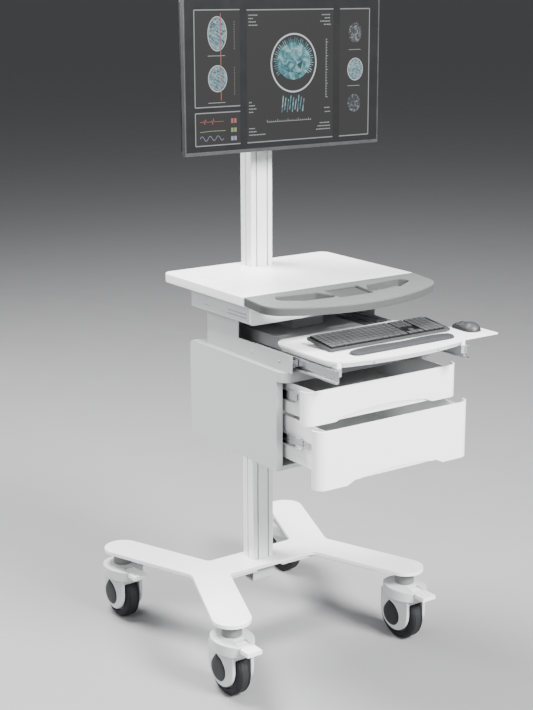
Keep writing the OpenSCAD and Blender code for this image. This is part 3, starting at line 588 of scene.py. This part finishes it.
LAYER = 0.06            # from one layer of the drawing to the next
PANELS = {              # left, bottom, right, top
    "scans": (-234, 1292, -120, 1493), "traces": (-234, 1211, -120, 1280),
    "main": (-102, 1211, 130, 1492), "side": (148.5, 1211, 232.5, 1492),
}
LABEL_LEFT, LABEL_RIGHT = -97, 124
LABELS = (              # side, height of the first line, from line to line, lengths of the lines
    ("left", 1480, 7, (26, 14, 20, 24)), ("left", 1296, 7, (8, 18, 22, 14)),
    ("left", 1240, 7, (18, 22, 44)), ("right", 1479, 7, (26, 18, 30, 20)),
    ("right", 1243, 7, (30, 36, 40)), ("right", 1276, 9, (18, 16)),
)
RINGS = (               # x, z, both radii, width
    (22, 1378, 62, 64, 3.6), (-177, 1444, 24, 36, 2.0), (-177, 1351, 24, 28, 2.0), (193, 1359, 22, 25, 2.0),
)
SMALL_SCANS = ((-177, 1444, 21.5, 33), (-177, 1351, 21.5, 25.5), (193, 1359, 19.5, 22.5))
FAINT_SCANS = ((192, 1440, 18, 22), (191, 1284, 18, 20))
SCAN_X, SCAN_Z = 22, 1382
TRACE_LEFT = -223
BEAT = ((0, 0), (8, 0), (10, 3), (12, -5), (14, 6), (16, 0), (28, 0), (30, 3), (32, -6), (34, 7), (36, 0),
        (48, 0), (60, 0))
TRACES = (              # name, colour, points, width, bottom and top of the two bars beside it
    ("red", (0.52, 0.16, 0.14), [(TRACE_LEFT + x, 1261 + z) for x, z in BEAT], 1.0, 1256, 1266),
    ("green", (0.34, 0.46, 0.22), [(TRACE_LEFT, 1240), (-196, 1241.5), (-158, 1241)], 1.2, 1237, 1246),
    ("blue", (0.40, 0.44, 0.58), [(TRACE_LEFT + i * 2, 1226 + 5 * math.sin(i * 0.62)) for i in range(31)],
     1.0, 1219, 1228),
)
SCAN_LINE = (-169.4, 1305, -167.6, 1486)


class Drawing:
    """Flat lit shapes in the plane of the display, in millimetres, at a number of layers from its glass."""

    def __init__(self, layers):
        self.bm = bmesh.new()
        self.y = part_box("monitor_screen")[0].y - layers * LAYER / 1000

    def poly(self, points):
        self.bm.faces.new([self.bm.verts.new((x / 1000, self.y, z / 1000)) for x, z in points])

    def rect(self, x0, z0, x1, z1):
        self.poly([(x0, z0), (x1, z0), (x1, z1), (x0, z1)])

    def path(self, points, width):
        for (x0, z0), (x1, z1) in zip(points, points[1:]):
            length = math.hypot(x1 - x0, z1 - z0)
            dx, dz = (z1 - z0) / length * width / 2, -(x1 - x0) / length * width / 2
            self.poly([(x0 - dx, z0 - dz), (x1 - dx, z1 - dz), (x1 + dx, z1 + dz), (x0 + dx, z0 + dz)])

    def oval(self, x, z, rx, rz):
        sides = 48
        angles = [2 * math.pi * i / sides for i in range(sides)]
        self.poly([(x + rx * math.cos(a), z + rz * math.sin(a)) for a in angles])

    def ring(self, x, z, rx, rz, width):
        sides = 56
        for i in range(sides):
            a, b = 2 * math.pi * i / sides, 2 * math.pi * (i + 1) / sides
            corners = ((a, 0), (b, 0), (b, width), (a, width))
            self.poly([(x + (rx - w) * math.cos(t), z + (rz - w) * math.sin(t)) for t, w in corners])

    def done(self, name, mat):
        mesh = bpy.data.meshes.new(name)
        self.bm.normal_update()
        for f in self.bm.faces:
            if f.normal.y > 0:
                f.normal_flip()
        self.bm.to_mesh(mesh)
        self.bm.free()
        piece(name, mesh, mat, "monitor", smooth=False)


def display_frames():
    panels = Drawing(1)
    for sides in PANELS.values():
        panels.rect(*sides)
    panels.done("display_panels", emissive("display_dark", (0.026, 0.025, 0.025)))
    lines = Drawing(2)
    for panel, (x0, z0, x1, z1) in PANELS.items():
        if panel == "main":
            lines.path([(x0, z1), (x1, z1)], 2.2)
            lines.path([(x0, z0), (x1, z0)], 2.2)
        else:
            closed, open_end = (x1, x0) if panel == "side" else (x0, x1)
            lines.path([(open_end, z1), (closed, z1), (closed, z0), (open_end, z0)], 2.2)
    lines.done("display_frames", emissive("display_line", (0.42, 0.44, 0.45)))


def display_ticks():
    ticks = Drawing(2)
    for i in range(22):
        ticks.rect(110.5, 1300 + i * 6, 113.5 if i % 5 else 116, 1301.2 + i * 6)
        ticks.rect(-50 + i * 5.6, 1253, -49 + i * 5.6, 1255.5 if i % 5 else 1258)
    ticks.rect(110, 1300, 110.8, 1428)
    ticks.rect(-50, 1252.4, 70, 1253.2)
    for z0 in (1317, 1412):
        for i in range(12):
            ticks.rect(-135, z0 + i * 5, -133, z0 + 1 + i * 5)
    for side, top, line_step, lengths in LABELS:
        for i, length in enumerate(lengths):
            left = LABEL_LEFT if side == "left" else LABEL_RIGHT - length
            z = top - i * line_step
            for k in range(length // 4):
                ticks.rect(left + k * 4, z, left + k * 4 + 2.6, z + 2.2)
    for sides in ((-201, 1398, -158, 1399.2), (-201, 1300, -158, 1301.2), (174, 1402, 208, 1403),
                  (172, 1322, 206, 1323)):
        ticks.rect(*sides)
    ticks.done("display_ticks", emissive("display_tick", (0.50, 0.53, 0.54)))


def display_scans():
    """Round patterns that show nothing in particular."""
    rings = Drawing(3)
    for ring in RINGS:
        rings.ring(*ring)
    rings.done("display_rings", emissive("display_bright", (0.72, 0.80, 0.82)))

    clouds = Drawing(2.5)
    clouds.oval(SCAN_X, SCAN_Z, 44, 40)
    for i in range(42):
        a = math.pi * (-0.2 + 1.4 * i / 41)
        reach = 54 if i % 3 else 50
        clouds.path([(SCAN_X + 43 * math.cos(a), SCAN_Z + 39 * math.sin(a)),
                     (SCAN_X + reach * math.cos(a), SCAN_Z + (reach - 3) * math.sin(a))], 1.8)
    for i in range(9):
        clouds.path([(-6 + 7 * i, 1308 - 4 * (i % 3)), (-10 + 7 * i, 1272 + 5 * (i % 2))], 2.6)
    teal = ((0.03, 0.14, 0.17), (0.10, 0.34, 0.39), (0.30, 0.60, 0.64))
    clouds.done("display_main_scan", scan_material("display_teal", *teal, size=60))
    small = Drawing(2.5)
    for scan in SMALL_SCANS:
        small.oval(*scan)
    pale = ((0.03, 0.10, 0.13), (0.22, 0.38, 0.42), (0.70, 0.78, 0.80))
    small.done("display_small_scans", scan_material("display_pale", *pale, size=190))
    faint = Drawing(2.5)
    for scan in FAINT_SCANS:
        faint.oval(*scan)
    dim = ((0.035, 0.04, 0.045), (0.045, 0.06, 0.07), (0.05, 0.11, 0.12))
    faint.done("display_faint_scans", scan_material("display_dim", *dim, size=150))
    strokes = Drawing(3.5)
    strokes.poly([(30, 1374), (47, 1384), (41, 1364)])
    strokes.path([(-14, 1372), (4, 1362), (24, 1358), (46, 1352)], 1.6)
    for z in (1440, 1346):
        for i in range(5):
            strokes.path([(-190 + 3 * i, z - 8 + 6 * i), (-176 + 4 * i, z - 16 + 6 * i)], 1.2)
    strokes.done("display_scan_lobes", emissive("display_lobe", (0.02, 0.07, 0.09)))


def display_traces():
    for name, colour, points, width, low, high in TRACES:
        trace = Drawing(4)
        if name == "red":
            trace.rect(*SCAN_LINE)
        trace.path(points, width)
        for x in (-144, -136):
            trace.rect(x, low, x + 6, high)
        trace.done("display_" + name, emissive("display_" + name, colour))


casters()
palm_rest()
mouse()
tray_slope()
screws()
display_frames()
display_ticks()
display_scans()
display_traces()

# ------------------------------------------------------------------ stage, light and camera

def make_stage():
    bpy.ops.mesh.primitive_plane_add(size=4000, location=(0, 0, 0))
    floor = bpy.context.object
    floor.name = "floor"
    pale = material("floor_pale", (0.25, 0.25, 0.256), 0.8, tint=0.015, tint_size=2, wear=0.0)
    floor.data.materials.append(pale)
    world = bpy.data.worlds.new("studio")
    bpy.context.scene.world = world
    world.use_nodes = True
    sky = world.node_tree.nodes["Background"]
    sky.inputs["Color"].default_value = (0.80, 0.81, 0.83, 1)
    sky.inputs["Strength"].default_value = 0.22


def area_light(name, place, target, size, power):
    data = bpy.data.lights.new(name, "AREA")
    data.shape = "DISK"
    data.size = size
    data.energy = power
    o = bpy.data.objects.new(name, data)
    bpy.context.scene.collection.objects.link(o)
    o.location = place
    o.rotation_mode = "QUATERNION"
    o.rotation_quaternion = (Vector(target) - Vector(place)).to_track_quat("-Z", "Y")


def make_camera():
    data = bpy.data.cameras.new("camera")
    data.sensor_width = 36
    data.lens = 70.76
    camera = bpy.data.objects.new("camera", data)
    bpy.context.scene.collection.objects.link(camera)
    turn = Matrix.Rotation(math.radians(-34.57), 4, "Z") @ Matrix.Rotation(math.radians(90 - 14.61), 4, "X")
    roll = Matrix.Rotation(math.radians(-0.197), 4, "Z")
    camera.matrix_world = Matrix.Translation((-1.8035, -2.6441 + HUB_Y, 1.5304)) @ turn @ roll
    bpy.context.scene.camera = camera


LIGHTS = (  # name, place, what it points at, width in metres, watts
    ("key", (0.7, -3.7, 3.1), (0, 0, 0.6), 1.5, 760),
    ("fill", (-3.2, -1.6, 2.5), (0, 0, 0.7), 2.2, 95),
    ("top", (-0.9, 0.9, 3.8), (0, 0, 0.6), 1.6, 430),
    ("back", (-1.5, 3.0, 2.4), (0, 0, 0.9), 2.0, 80),
)

make_stage()
for light in LIGHTS:
    area_light(*light)
make_camera()
